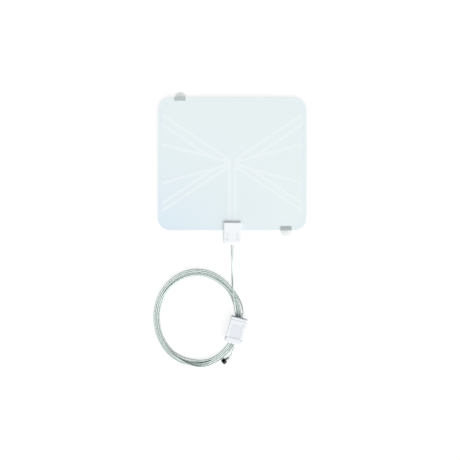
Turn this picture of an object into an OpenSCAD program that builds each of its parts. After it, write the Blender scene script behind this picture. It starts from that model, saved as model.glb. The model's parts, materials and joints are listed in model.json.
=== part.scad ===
// Flat indoor antenna: a laminated sheet with foil elements, a junction housing with its matching
// board, two suction-cup clips, and a coiled lead with an inline amplifier and a screw-on plug.
// It lies face up: X to the right, Y up the sheet, Z out of its face.

/* [Sheet] */
// Width of the sheet
sheet_w = 335; // [320:1:350]
// Height of the sheet
sheet_h = 300; // [290:1:310]
// Radius of the sheet's corners
corner_r = 28; // [15:1:35]
// Thickness of the back film
back_film_t = 0.3; // [0.2:0.05:0.5]
// Thickness of the front film
front_film_t = 0.4; // [0.3:0.05:0.6]
// Height of the sheet's underside above the surface behind it
sheet_lift = 8; // [7.5:0.25:9]
// Width of the pressed seam round the edge
seam_w = 3.5; // [2:0.5:5]
// Distance from the top and bottom edges to the seam
seam_in_y = 7; // [5:0.5:9]
// Distance from the side edges to the seam
seam_in_x = 5; // [3:0.5:7]
// Depth of the seam
seam_depth = 0.08; // [0.05:0.01:0.12]

/* [Foil elements] */
// Thickness of the foil
foil_t = 0.12; // [0.08:0.01:0.16]
// Width of each foil line
line_w = 5; // [3:0.5:6]
// Width of each centre pad
pad_w = 14; // [12:0.5:16]
// Height of each centre pad
pad_h = 21.5; // [18:0.5:24]
// Gap between the two pads
pad_gap = 7; // [6:0.5:7.5]
// Distance from the side edge to the ends of the lines
line_end_in = 7; // [6.5:0.5:10]
// Height of the ridge that the foil raises in the front film
ridge_h = 0.1; // [0.05:0.01:0.15]

/* [Housing] */
// Width of the junction housing
housing_w = 40; // [38:0.5:44]
// Length of the junction housing
housing_h = 53.5; // [52:0.5:58]
// Thickness of the junction housing
housing_t = 14; // [13.5:0.25:16]
// Length of the housing that covers the sheet
housing_over = 21.5; // [20:0.5:23]
// Wall of the housing
housing_wall = 1.8; // [1.4:0.1:2.2]
// Length of the bevel at the housing's upper end
bevel_l = 4.5; // [3:0.25:5]
// Width of the housing at the top of the bevel
bevel_w = 34; // [30:0.5:36]
// Width of each grip groove
grip_w = 4; // [2:0.5:5]
// Length of each grip groove
grip_l = 17; // [12:0.5:18]
// Depth of each grip groove
grip_depth = 0.7; // [0.4:0.1:0.9]

/* [Clips and cups] */
// Width of the clip's jaws
clip_w = 25; // [22:0.5:28]
// How far the jaws reach over the sheet
jaw_reach = 8.5; // [7:0.5:10]
// Thickness of each jaw
jaw_t = 1.8; // [1.6:0.1:2]
// Width of the clip's outer tab
tab_w = 18; // [16:0.5:20]
// How far the tab stands beyond the sheet's edge
tab_out = 8; // [7:0.5:9]
// Radius of the suction cup's rim
cup_r = 13; // [12:0.5:15]
// Wall of the suction cup
cup_wall = 1.3; // [1:0.1:1.6]
// Distance from the sheet's left edge to the middle of the upper clip
clip_left_in = 49.7; // [43:0.1:62]
// Distance from the sheet's right edge to the middle of the lower clip
clip_right_in = 46.3; // [43:0.1:62]

/* [Lead] */
// Diameter of the coaxial cord
cord_d = 3.6; // [3.4:0.05:3.7]
// Length of the housing's strain relief outside the wall
relief_l = 28; // [28:0.5:30]
// Half the outside width of the coil
coil_rx = 99.4; // [97:0.2:99.6]
// Half the outside height of the coil
coil_ry = 111.2; // [109:0.2:112]
// Width of the coil's band of turns
coil_band = 14.6; // [14.4:0.1:16]
// Thickness of the coil, two layers of turns
coil_t = 7.3; // [7.3:0.05:7.4]

/* [Amplifier] */
// Length of the amplifier
amp_l = 60; // [58:0.5:64]
// Width of the amplifier between its end bands
amp_w = 37; // [36:0.5:38]
// Width of the amplifier at its end bands
amp_band_w = 39.5; // [39:0.5:41]
// Thickness of the amplifier
amp_t = 14; // [13:0.25:15]
// Wall of the amplifier's case
amp_wall = 1.8; // [1.4:0.1:2]
// Length of the band at the input end
band_in_l = 7.2; // [6:0.2:9]
// Length of the band at the output end
band_out_l = 12; // [10:0.5:14]
// Width of the bare panel
panel_w = 24; // [18:0.5:26]
// Length of the bare panel
panel_l = 30; // [24:0.5:31]
// Depth of the bare panel
panel_depth = 0.3; // [0.2:0.05:0.5]
// Lean of the amplifier as it lies on the coil, in degrees
amp_lean = 14.9; // [13:0.1:17]

/* [Screw-on plug] */
// Width of the nut across its flats
nut_af = 11; // [10.8:0.05:11.2]
// Length of the nut
nut_l = 8.5; // [8:0.1:10]
// Radius of the nut's threaded bore
nut_bore_r = 4.3; // [4.2:0.05:4.5]
// Radius of the centre pin
pin_r = 0.45; // [0.4:0.05:0.5]
// How far the centre pin stands out of the nut
pin_out = 1.5; // [1:0.25:2]
// Running clearance between the nut and its sleeve
nut_clear = 0.05; // [0.03:0.01:0.08]

/* [Hidden] */
$fn = 48;
eps = 0.01;
// How far a boss or a peg runs into the wall that it stands on
root = 0.5;

// Sheet: the origin is below the middle of everything but the cord
sheet_cy = (housing_h - housing_over - cup_r) / 2;
sheet_bottom = sheet_cy - sheet_h / 2;
sheet_top_y = sheet_cy + sheet_h / 2;
foil_z = sheet_lift + back_film_t;
sheet_top = foil_z + front_film_t;
foil_clear = 0.05;

// Foil lines, from the sheet's centre: where each leaves its pad or forks off the line beside it,
// and its height at the rim
spokes = [[[5.2, 7.8], 111], [[48, 15.37], 89], [[12, 6], 44],
    [[12, -2.5], -43.5], [[38, -9.8], -89], [[10, -7.7], -105.5]];
line_end_x = sheet_w / 2 - line_end_in;
feed_x = pad_gap / 2 + 2.7;
contact_y = sheet_bottom + 8.5;
contact_w = 3;
window = [contact_w + 1.4, 5];

// Housing
housing_bottom = sheet_bottom + housing_over - housing_h;
housing_top = sheet_bottom + housing_over;
housing_end_wall = housing_wall + 0.2;
housing_roof = housing_t - housing_wall - 0.2;
cavity_top = housing_top - bevel_l - housing_wall + 0.3;
board_t = 1;
board_z = 2 * housing_wall;
board_top = board_z + board_t;
board_w = 22;
board_y = [housing_bottom + 9.5, housing_top - 9];
board_rib_x = 9.5;
core = [8, 7, 4.6];
core_y = housing_bottom + 24;
core_hole_x = 1.9;
core_hole_r = 1.1;
wire = 0.35;
wire_pitch = 0.6;
cord_r = cord_d / 2;
exit_z = board_top + cord_r;
relief_r = [3.1, 2.5];
flange_t = 1.8;
screw_at = [housing_w / 2 - 6, housing_bottom + 9.5];
peg_at = [housing_w / 2 - 4.8, housing_top - 11];
peg_r = 1.5;
peg_z = 3;
grip_at = [11.2, 18.5];
grip_lean = 3;
screw_r = 0.9;
head_r = 1.95;
head_t = 1.6;
recess = 2.4;
boss_r = 2.9;
fit = 0.05;
// How far a screw bites into the other shell, and the depth of its hole past the tip
screw_bite = 2.6;
screw_spare = 0.6;

// Clips and cups
tab_round = 4;
neck_r = 2.5;
knob_r = 3.5;
knob_t = 0.85;
cup_top = sheet_lift - jaw_t - 0.15;

// Coil and amplifier
coil_c = [-78.6, -338.9];
amp_c = [8.7, -364.7];
amp_split = 6.5;
amp_board_z = amp_split - cord_r - 1.2;
amp_board_top = amp_split - cord_r;
amp_board_w = amp_w - 2 * amp_wall - 3.4;
amp_board_l = amp_l - 10;
// The two ribs under the board stop this far short of the case's ends
amp_rib_end = 8;
amp_rib_u = 10;
can = [20, 22, 4.4];
can_at = [-1, -4];
sheet_metal = 0.3;
amp_end_wall = amp_wall + 0.2;
amp_roof = amp_t - amp_wall;
relief_u = 4.5;
usb_u = -4.5;
usb_w = 7.5;
usb_t = 2.6;
usb_l = 5.6;
usb_in = 0.9;
tongue = [3.8, 0.6];
amp_relief_l = 10;
amp_relief_r = [2.9, 2.3];
light_at = [12.8, 14];
light_r = 1.5;
amp_screw_at = [[-amp_w / 2 + 4.9, -amp_l / 2 + 7.5], [amp_w / 2 - 4.9, amp_l / 2 - 7.5]];
panel_v = -1.5;
groove_w = 0.8;
groove_d = 0.5;

// Screw-on plug: w runs along its axis from the nut's back face to its mouth
plug_turn = 215.6;
plug_z = 6.5;
nut_c = [-18.5, -436.1];
lip_t = 1.2;
sleeve_r = 3.3;
flange_r = nut_bore_r - 0.2;
flange_l = 0.8;
axial_clear = 0.1;
ferrule_l = 9;
ferrule_af = 6.4;
insulator_r = 2.2;
insulator_front = lip_t + axial_clear + flange_l;
conductor_r = 0.25;
post_l = 3;
pin_cone = 0.3;
plug_dir = [cos(plug_turn), sin(plug_turn), 0];
plug_origin = [nut_c[0], nut_c[1], plug_z] - nut_l / 2 * plug_dir;

// Routes of the cord where it isn't coiled
amp_dir = [sin(amp_lean), cos(amp_lean), 0];
lead_route = [[0, housing_bottom - relief_l, exit_z], [0, -208, 6.2], [0, -216, 5], [0, -224, 3.6],
    [0, -232, 2.4], [0, -240, 1.9], [0.1, -248, 2.8], [0.3, -256, 5.2], [0.6, -264, 7.8],
    [1, -272, 9.3], [1.7, -280, 9.6], [2.7, -288, 9.6], [3.8, -296, 9.6], [5, -304, 9.4],
    [6.2, -312, 8.4], [7.4, -320, 6.6], [8.2, -327, 5.4]];
to_amp_route = [amp_point(relief_u, amp_l / 2 + amp_relief_l, amp_split), [25, -320, 13.4],
    [25.2, -313, 12.2], [23.4, -306, 10.6], [20, -299, 9], [16, -293, 7.6], [11.5, -287.5, 6.4],
    [6.5, -281, 5.6], [1.5, -275.5, 5.4], [-4.5, -268.5, 5.4]];
tail_route = [amp_point(relief_u, -amp_l / 2 - amp_relief_l, amp_split), [1.2, -410.5, 12.9],
    [-0.3, -416, 10.9], [-2.2, -421, 8.6], [-4.8, -425.2, 7], plug_point(-ferrule_l)];

// A point of the amplifier's own frame, as it lies
function amp_point(u, v, z) = [
    amp_c[0] + u * cos(amp_lean) + v * sin(amp_lean),
    amp_c[1] - u * sin(amp_lean) + v * cos(amp_lean),
    coil_t + z];

// A point on the plug's axis
function plug_point(w) = plug_origin + w * plug_dir;

function unit(v) = v / norm(v);

// Direction of a route at one of its points
function way(p, i, first, last) =
    i == 0 ? first : i == len(p) - 1 ? last : unit(p[i + 1] - p[i - 1]);

// The ring of points round a route at one of its points
function ring(p, i, r, sides, first, last) =
    let (t = way(p, i, first, last), side = unit(cross(t, [0, 0, 1])), up = cross(side, t))
    [for (k = [0:sides - 1]) p[i] + r * (cos(360 * k / sides) * side + sin(360 * k / sides) * up)];

// A round tube along a route
module tube(p, r, first, last, sides = 8) {
    n = len(p);
    rings = [for (i = [0:n - 1]) each ring(p, i, r, sides, first, last)];
    walls = [for (i = [0:n - 2], k = [0:sides - 1])
        [i * sides + k, i * sides + (k + 1) % sides, (i + 1) * sides + (k + 1) % sides,
            (i + 1) * sides + k]];
    ends = [[for (k = [sides - 1:-1:0]) k], [for (k = [0:sides - 1]) (n - 1) * sides + k]];
    polyhedron(points = rings, faces = concat(walls, ends), convexity = 4);
}

// A rectangle with round corners, centred
module round_rect(w, h, r) {
    square([w - 2 * r, h], center = true);
    square([w, h - 2 * r], center = true);
    for (x = [-1, 1], y = [-1, 1])
        translate([x * (w / 2 - r), y * (h / 2 - r)]) circle(r);
}

// A flat line with cut ends
module line(a, b, w) {
    d = b - a;
    translate(a) rotate(atan2(d[1], d[0])) translate([0, -w / 2]) square([norm(d), w]);
}

module in_amp_frame() {
    translate([amp_c[0], amp_c[1], coil_t]) rotate(-amp_lean) children();
}

module in_plug_frame() {
    translate(plug_origin) rotate([0, 90, plug_turn]) children();
}

// Upper left clip as drawn; the lower right one hangs from the bottom edge
module at_clip(which) {
    if (which == "left")
        translate([clip_left_in - sheet_w / 2, sheet_top_y, 0]) children();
    if (which == "right")
        translate([sheet_w / 2 - clip_right_in, sheet_bottom, 0]) rotate(180) children();
}

module sheet_outline(inset_x = 0, inset_y = 0) {
    round_rect(sheet_w - 2 * inset_x, sheet_h - 2 * inset_y, corner_r - min(inset_x, inset_y));
}

// The right-hand element's outline, from the sheet's centre; grow widens every line
module element_outline(grow = 0) {
    translate([pad_gap / 2 - grow, -pad_h / 2 - 0.75 - grow])
        square([pad_w + 2 * grow, pad_h + 2 * grow]);
    for (s = spokes)
        line(s[0], [line_end_x - line_w / 2, s[1]], line_w + 2 * grow);
    line([feed_x, 0], [feed_x, contact_y - sheet_cy - 1.5], line_w + 2 * grow);
}

// Holes through the films for the housing's pegs
module peg_holes() {
    for (x = [-1, 1])
        translate([x * peg_at[0], peg_at[1], sheet_lift - 1]) cylinder(r = peg_r + 0.15, h = 3);
}

module back_film() {
    color("#dfeef2") difference() {
        translate([0, sheet_cy, sheet_lift]) linear_extrude(back_film_t) sheet_outline();
        for (x = [-1, 1])
            translate([x * feed_x - window[0] / 2, contact_y - window[1] / 2, sheet_lift - 1])
                cube([window[0], window[1], back_film_t + 2]);
        peg_holes();
    }
}

module front_film() {
    color("#e9f3f6") difference() {
        union() {
            translate([0, sheet_cy, foil_z]) linear_extrude(front_film_t) sheet_outline();
            intersection() {
                translate([0, sheet_cy, foil_z]) linear_extrude(front_film_t + ridge_h)
                    for (side = [0, 1]) mirror([side, 0]) element_outline(0.5);
                translate([-sheet_w / 2, housing_top + 0.5, 0])
                    cube([sheet_w, sheet_h, 2 * sheet_top]);
            }
        }
        translate([0, sheet_cy, foil_z - eps]) linear_extrude(foil_t + eps)
            for (side = [0, 1]) mirror([side, 0]) element_outline(foil_clear);
        translate([0, sheet_cy, sheet_top - seam_depth]) linear_extrude(1) difference() {
            sheet_outline(seam_in_x, seam_in_y);
            sheet_outline(seam_in_x + seam_w, seam_in_y + seam_w);
        }
        peg_holes();
    }
}

module element_right() {
    color("#f4f8fa") translate([0, sheet_cy, foil_z]) linear_extrude(foil_t) element_outline();
}

module element_left() {
    color("#f4f8fa") mirror([1, 0, 0])
        translate([0, sheet_cy, foil_z]) linear_extrude(foil_t) element_outline();
}

// Outer form of the housing: its plan, its side view and its end view, all three together
module housing_form() {
    h = housing_w / 2;
    b = bevel_w / 2;
    cut = 5;
    edge = 2.5;
    intersection() {
        linear_extrude(housing_t) polygon([
            [-b, housing_top], [b, housing_top], [h, housing_top - bevel_l],
            [h, housing_bottom + cut], [h - 1, housing_bottom + 1.6], [h - cut, housing_bottom],
            [cut - h, housing_bottom], [1 - h, housing_bottom + 1.6], [-h, housing_bottom + cut],
            [-h, housing_top - bevel_l]]);
        translate([-h, 0, 0]) rotate([90, 0, 90]) linear_extrude(housing_w) polygon([
            [housing_bottom + 0.8, 0], [housing_top - 1.5, 0], [housing_top, 1.5],
            [housing_top, sheet_top + 0.8], [housing_top - bevel_l, housing_t],
            [housing_bottom + 4, housing_t], [housing_bottom + 1.2, housing_t - 1.2],
            [housing_bottom, housing_t - 4], [housing_bottom, 0.8]]);
        translate([0, housing_top + 1, 0]) rotate([90, 0, 0]) linear_extrude(housing_h + 2) polygon([
            [0.8 - h, 0], [h - 0.8, 0], [h, 0.8], [h, housing_t - edge],
            [h - 0.7, housing_t - 0.7], [h - edge, housing_t],
            [edge - h, housing_t], [0.7 - h, housing_t - 0.7], [-h, housing_t - edge], [-h, 0.8]]);
    }
}

// The room inside the housing
module housing_room() {
    w = housing_w - 2 * housing_wall - 0.8;
    l = cavity_top - housing_bottom - housing_end_wall;
    translate([0, cavity_top - l / 2, housing_wall])
        linear_extrude(housing_roof - housing_wall) round_rect(w, l, 3);
}

module housing_exit() {
    translate([0, housing_bottom - 1, exit_z]) rotate([-90, 0, 0])
        cylinder(r = relief_r[0] + fit, h = housing_end_wall + 2);
}

module housing_front() {
    color("#f6f8f9") difference() {
        union() {
            difference() {
                housing_form();
                housing_room();
                translate([-housing_w, housing_bottom - 1, -1])
                    cube([2 * housing_w, housing_h + 2, sheet_lift + 1]);
                translate([-housing_w, sheet_bottom - 0.15, sheet_lift - eps])
                    cube([2 * housing_w, housing_h, sheet_top - sheet_lift + 2 * eps]);
            }
            for (x = [-1, 1]) {
                translate([x * screw_at[0], screw_at[1], sheet_lift])
                    cylinder(r = boss_r - 0.3, h = housing_roof - sheet_lift + root);
                translate([x * peg_at[0], peg_at[1], peg_z])
                    cylinder(r = peg_r, h = housing_roof - peg_z + root);
            }
        }
        for (x = [-1, 1]) {
            translate([x * screw_at[0], screw_at[1], sheet_lift - 1])
                cylinder(r = screw_r + fit, h = 1 + screw_bite + screw_spare);
            translate([x * grip_at[0], housing_bottom + grip_at[1], housing_t - grip_depth])
                rotate(x * grip_lean) linear_extrude(2) round_rect(grip_w, grip_l, grip_w / 2 - eps);
        }
        housing_exit();
    }
}

module housing_back() {
    color("#f2f5f6") difference() {
        union() {
            difference() {
                housing_form();
                housing_room();
            }
            for (x = [-1, 1]) {
                translate([x * screw_at[0], screw_at[1], 1]) cylinder(r = boss_r, h = sheet_lift - 1);
                translate([x * peg_at[0], peg_at[1], 1]) cylinder(r = boss_r, h = sheet_lift - 1);
                translate([x * board_rib_x - 1, board_y[0] + 1, 1])
                    cube([2, board_y[1] - board_y[0] - 2, board_z - 1]);
            }
        }
        translate([-housing_w, housing_bottom - 1, sheet_lift])
            cube([2 * housing_w, housing_h + 2, housing_t]);
        for (x = [-1, 1]) {
            translate([x * screw_at[0], screw_at[1], -1]) cylinder(r = head_r + 0.2, h = recess + 1);
            translate([x * screw_at[0], screw_at[1], -1]) cylinder(r = screw_r + 0.2, h = sheet_lift + 2);
            translate([x * peg_at[0], peg_at[1], recess]) cylinder(r = peg_r + fit, h = sheet_lift);
        }
        housing_exit();
    }
}

module matching_board() {
    color("#2f6b46") translate([-board_w / 2, board_y[0], board_z])
        cube([board_w, board_y[1] - board_y[0], board_t]);
}

// Two-hole ferrite core on the board
module balun_core() {
    color("#3a3a3c") translate([0, core_y, board_top]) difference() {
        translate([-core[0] / 2, -core[1] / 2, 0]) cube(core);
        for (x = [-1, 1]) translate([x * core_hole_x, -core[1], core[2] / 2]) rotate([-90, 0, 0])
            cylinder(r = core_hole_r, h = 2 * core[1]);
    }
}

// Three turns of wire round the web between the core's holes
module balun_winding() {
    inside = [2 * core_hole_x, core[1] + 0.2];
    color("#b87333") translate([0, core_y, board_top + core[2] / 2])
        for (k = [-1:1]) translate([0, 0, k * wire_pitch - wire / 2]) linear_extrude(wire)
            difference() {
                square([inside[0] + 2 * wire, inside[1] + 2 * wire], center = true);
                square(inside, center = true);
            }
}

// Spring leaf from the board up to the foil
module contact(x) {
    leaf = 0.25;
    low = board_top;
    high = foil_z;
    y = contact_y;
    translate([x - contact_w / 2, 0, 0]) rotate([90, 0, 90]) linear_extrude(contact_w) polygon([
        [y - 6, low], [y - 2.4, low], [y - 1.2, high - leaf], [y + 1.5, high - leaf],
        [y + 2, high - leaf - 0.5], [y + 2.2, high - leaf - 0.4], [y + 1.6, high],
        [y - 1.4, high], [y - 2.6, low + leaf], [y - 6, low + leaf]]);
}

module contact_left() {
    color("#c9a85a") contact(-feed_x);
}

module contact_right() {
    color("#c9a85a") contact(feed_x);
}

// Pan-head screw, head down, with its head's upper face at z = 0
module screw(shank) {
    difference() {
        translate([0, 0, -head_t]) cylinder(r = head_r, h = head_t);
        for (a = [0, 90]) rotate(a) translate([-1.2, -0.25, -head_t - 1]) cube([2.4, 0.5, 1.7]);
    }
    cylinder(r = screw_r, h = shank);
}

module housing_screws() {
    color("#b9bdc0") for (x = [-1, 1])
        translate([x * screw_at[0], screw_at[1], recess]) screw(sheet_lift - recess + screw_bite);
}

// Strain relief along -Z, with its outer face of the wall at z = 0
module relief(wall, r, length) {
    translate([0, 0, wall]) cylinder(r = r[0] + 0.8, h = flange_t);
    translate([0, 0, -eps]) cylinder(r = r[0], h = wall + 2 * eps);
    rotate_extrude() polygon([[0, -length], [r[1] - 0.3, -length], [r[1], 0.4 - length],
        [r[0], -2.5], [r[0] + 0.4, -2], [r[0] + 0.4, -0.6], [r[0], 0], [0, 0]]);
}

// Stripped end of the cord along +Z: jacket, insulation and centre conductor
module stripped_end(jacket) {
    cylinder(r = cord_r, h = jacket);
    cylinder(r = 1.1, h = jacket + 2);
    cylinder(r = 0.3, h = jacket + 4.5);
}

module lead_relief() {
    color("#eef1f2") translate([0, housing_bottom, exit_z]) rotate([-90, 0, 0])
        relief(housing_end_wall, relief_r, relief_l);
}

module lead_end() {
    color("#d9e2e0") translate([0, housing_bottom + housing_end_wall + flange_t, exit_z])
        rotate([-90, 0, 0]) stripped_end(10);
}

// Sprung clip over the sheet's edge, with a tab outside it that holds the cup's knob
module clip() {
    gap = sheet_top - sheet_lift;
    low = sheet_lift - jaw_t;
    difference() {
        union() {
            translate([0, 0, low]) linear_extrude(jaw_t) {
                translate([-clip_w / 2, -jaw_reach]) square([clip_w, jaw_reach]);
                translate([-tab_w / 2, 0]) square([tab_w, tab_out - tab_round]);
                translate([0, tab_out - tab_round]) intersection() {
                    circle(tab_w / 2);
                    translate([-tab_w / 2, -1]) square([tab_w, tab_round + 1]);
                }
            }
            translate([-tab_w / 2, 0.15, low]) cube([tab_w, 1.5, jaw_t + gap + jaw_t]);
            translate([-clip_w / 2, 0, 0]) rotate([90, 0, 90]) linear_extrude(clip_w) polygon([
                [0.15, sheet_top], [0.15, sheet_top + jaw_t], [-1, sheet_top + jaw_t],
                [0.6 - jaw_reach, sheet_top + jaw_t - 0.6], [-jaw_reach, sheet_top + 0.8],
                [0.8 - jaw_reach, sheet_top]]);
        }
        translate([0, 0, low - 1]) cylinder(r = neck_r + 0.1, h = jaw_t + 2);
        translate([0, 0, sheet_lift - knob_t - 0.05]) cylinder(r = knob_r + 0.15, h = 1);
    }
}

// Suction cup with its neck and knob, rim down
module cup() {
    top = cup_top;
    rotate_extrude() polygon(concat(
        [[0, sheet_lift - knob_t], [0, sheet_lift - 0.05], [knob_r - 0.3, sheet_lift - 0.05],
            [knob_r, sheet_lift - 0.35], [knob_r, sheet_lift - knob_t], [neck_r, sheet_lift - knob_t],
            [neck_r, top], [neck_r + 1.6, top - 0.1]],
        [for (k = [1:7]) [neck_r + 1.6 + (cup_r - 0.4 - neck_r - 1.6) * sin(90 * k / 8),
            0.7 + (top - 0.8) * cos(90 * k / 8)]],
        [[cup_r, 0.7], [cup_r, 0.25], [cup_r - 0.3, 0], [cup_r - 1.4, 0]],
        [for (k = [7:-1:0]) [(cup_r - 1.4) * sin(90 * k / 8),
            (top - cup_wall - 0.3) * cos(90 * k / 8)]]));
}

module clip_upper_left() {
    color("#a8b4b2") at_clip("left") clip();
}

module clip_lower_right() {
    color("#a8b4b2") at_clip("right") clip();
}

module cup_upper_left() {
    color("#cfdad6") at_clip("left") cup();
}

module cup_lower_right() {
    color("#cfdad6") at_clip("right") cup();
}

module cord_lead() {
    color("#d3dcd8") tube(lead_route, cord_r, [0, -1, 0], unit([1, -8, -0.6]));
}

// The coil's turns as one closed oval ring
module cord_coil() {
    steps = 72;
    color("#d3dcd8") translate([coil_c[0], coil_c[1], 0]) linear_extrude(coil_t) difference() {
        polygon([for (k = [0:steps - 1])
            [coil_rx * cos(360 * k / steps), coil_ry * sin(360 * k / steps)]]);
        polygon([for (k = [0:steps - 1])
            [(coil_rx - coil_band) * cos(360 * k / steps),
                (coil_ry - coil_band) * sin(360 * k / steps)]]);
    }
}

module cord_to_amp() {
    color("#d3dcd8") tube(to_amp_route, cord_r, amp_dir, unit([-6, 7, 0]));
}

module cord_tail() {
    color("#d3dcd8") tube(tail_route, cord_r, -amp_dir, plug_dir);
}

// Outer form of the amplifier; inset shrinks it on every side
module amp_form() {
    intersection() {
        linear_extrude(amp_t) difference() {
            round_rect(amp_band_w, amp_l, 5);
            for (x = [-1, 1])
                translate([x * (amp_w / 2 + 5), (band_out_l - band_in_l) / 2])
                    square([10, amp_l - band_in_l - band_out_l], center = true);
        }
        translate([0, amp_l / 2, amp_t / 2]) rotate([90, 0, 0])
            linear_extrude(amp_l) round_rect(amp_band_w, amp_t, 2.4);
        translate([-amp_band_w / 2, 0, amp_t / 2]) rotate([90, 0, 90])
            linear_extrude(amp_band_w) round_rect(amp_l, amp_t, 2.4);
    }
}

// The shadow lines between the case's middle and its end bands
module amp_grooves() {
    for (v = [amp_l / 2 - band_in_l, band_out_l - amp_l / 2])
        translate([0, v, amp_t / 2]) rotate([90, 0, 0])
            linear_extrude(groove_w, center = true) difference() {
                square([amp_band_w + 2, amp_t + 2], center = true);
                round_rect(amp_w - 2 * groove_d, amp_t - 2 * groove_d, 2);
            }
}

module amp_room() {
    translate([0, 0, amp_wall]) linear_extrude(amp_roof - amp_wall)
        round_rect(amp_w - 2 * amp_wall, amp_l - 2 * amp_end_wall, 3.5);
}

module amp_openings() {
    for (side = [-1, 1])
        translate([relief_u, side * (amp_l / 2 - amp_end_wall / 2), amp_split]) rotate([90, 0, 0])
            cylinder(r = amp_relief_r[0] + fit, h = amp_end_wall + 2, center = true);
    translate([usb_u, amp_l / 2 + 1, amp_board_top + usb_t / 2]) rotate([90, 0, 0])
        linear_extrude(amp_end_wall + 2) round_rect(usb_w + 0.3, usb_t + 0.3, 0.5);
    translate([usb_u, amp_l / 2 + 1, amp_board_top + usb_t / 2]) rotate([90, 0, 0])
        linear_extrude(1.8) round_rect(usb_w + 2.4, usb_t + 2.2, 1.2);
}

module amp_top_shell() {
    color("#eef2f4") in_amp_frame() difference() {
        union() {
            difference() {
                amp_form();
                amp_room();
            }
            for (p = amp_screw_at) translate([p[0], p[1], amp_split])
                cylinder(r = boss_r - 0.3, h = amp_roof - amp_split + root);
        }
        translate([-amp_band_w, -amp_l, -1]) cube([2 * amp_band_w, 2 * amp_l, amp_split + 1]);
        for (p = amp_screw_at) translate([p[0], p[1], amp_split - 1])
            cylinder(r = screw_r + fit, h = 1 + screw_bite + screw_spare);
        amp_grooves();
        amp_openings();
        translate([0, panel_v, amp_t - panel_depth]) linear_extrude(2)
            round_rect(panel_w, panel_l, 2);
        translate([light_at[0], light_at[1], amp_roof - 1]) cylinder(r = light_r + fit, h = 5);
    }
}

module amp_bottom_shell() {
    color("#e9edf0") in_amp_frame() difference() {
        union() {
            difference() {
                amp_form();
                amp_room();
            }
            for (p = amp_screw_at) translate([p[0], p[1], 1]) cylinder(r = boss_r, h = amp_split - 1);
            for (u = [-1, 1]) translate([u * amp_rib_u - 1, amp_rib_end - amp_l / 2, 1])
                cube([2, amp_l - 2 * amp_rib_end, amp_board_z - 1]);
        }
        translate([-amp_band_w, -amp_l, amp_split]) cube([2 * amp_band_w, 2 * amp_l, amp_t]);
        for (p = amp_screw_at) {
            translate([p[0], p[1], -1]) cylinder(r = head_r + 0.2, h = recess + 1);
            translate([p[0], p[1], -1]) cylinder(r = screw_r + 0.2, h = amp_split + 2);
        }
        amp_grooves();
        amp_openings();
    }
}

module amp_board() {
    color("#2f6b46") in_amp_frame() translate([0, 0, amp_board_z])
        linear_extrude(amp_board_top - amp_board_z) difference() {
            square([amp_board_w, amp_board_l], center = true);
            for (p = amp_screw_at) translate(p) circle(boss_r + 0.2);
        }
}

// Folded tinned box over the circuit
module shield_can() {
    w = sheet_metal;
    color("#c4c8ca") in_amp_frame() translate([can_at[0], can_at[1], amp_board_top]) difference() {
        translate([-can[0] / 2, -can[1] / 2, 0]) cube(can);
        translate([w - can[0] / 2, w - can[1] / 2, -eps])
            cube([can[0] - 2 * w, can[1] - 2 * w, can[2] - w + eps]);
    }
}

// Small power socket: folded shell with its tongue
module usb_socket() {
    w = sheet_metal;
    color("#b8bcbe") in_amp_frame()
        translate([usb_u, amp_l / 2 - usb_in, amp_board_top + usb_t / 2]) rotate([90, 0, 0]) {
            difference() {
                linear_extrude(usb_l) round_rect(usb_w, usb_t, 0.4);
                translate([0, 0, -1]) linear_extrude(usb_l + 1 - 2 * w)
                    round_rect(usb_w - 2 * w, usb_t - 2 * w, 0.2);
            }
            translate([-tongue[0] / 2, 0.1, 0.5]) cube([tongue[0], tongue[1], usb_l - 0.5]);
        }
}

// Power light: a moulded lens that stands on the board and shows in the lid
module power_light() {
    color("#dfe8e4") in_amp_frame() translate([light_at[0], light_at[1], amp_board_top])
        rotate_extrude() polygon([[0, 0], [light_r, 0], [light_r, amp_t - amp_board_top - 0.1],
            [light_r - 0.5, amp_t - amp_board_top + 0.25], [0, amp_t - amp_board_top + 0.4]]);
}

module amp_screws() {
    color("#b9bdc0") in_amp_frame() for (p = amp_screw_at)
        translate([p[0], p[1], recess]) screw(amp_split - recess + screw_bite);
}

// The amplifier's reliefs, input end first
module amp_relief(side) {
    in_amp_frame() translate([relief_u, side * amp_l / 2, amp_split]) rotate([side * 90, 0, 0])
        relief(amp_end_wall, amp_relief_r, amp_relief_l);
}

module amp_end(side) {
    in_amp_frame() translate([relief_u, side * (amp_l / 2 - amp_end_wall - flange_t), amp_split])
        rotate([side * 90, 0, 0]) stripped_end(4);
}

module amp_relief_in() {
    color("#eef1f2") amp_relief(1);
}

module amp_relief_out() {
    color("#eef1f2") amp_relief(-1);
}

module amp_end_in() {
    color("#d9e2e0") amp_end(1);
}

module amp_end_out() {
    color("#d9e2e0") amp_end(-1);
}

// Crimped ferrule and post; its front flange holds the nut and lets it turn
module connector_body() {
    flange_w = lip_t + axial_clear;
    color("#b6babd") in_plug_frame() difference() {
        union() {
            rotate_extrude() polygon([
                [0, -ferrule_l], [2.9, -ferrule_l], [3.2, 0.3 - ferrule_l], [3.2, 2 - ferrule_l],
                [3, 2.2 - ferrule_l], [3, -2.6], [3.6, -2.4], [3.6, -0.5], [sleeve_r, -0.3],
                [sleeve_r, flange_w], [flange_r, flange_w], [flange_r, flange_w + flange_l],
                [0, flange_w + flange_l]]);
            translate([0, 0, 2.4 - ferrule_l]) cylinder(d = ferrule_af / cos(30), h = 3.6, $fn = 6);
        }
        translate([0, 0, -post_l]) cylinder(r = insulator_r, h = 10);
    }
}

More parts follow.
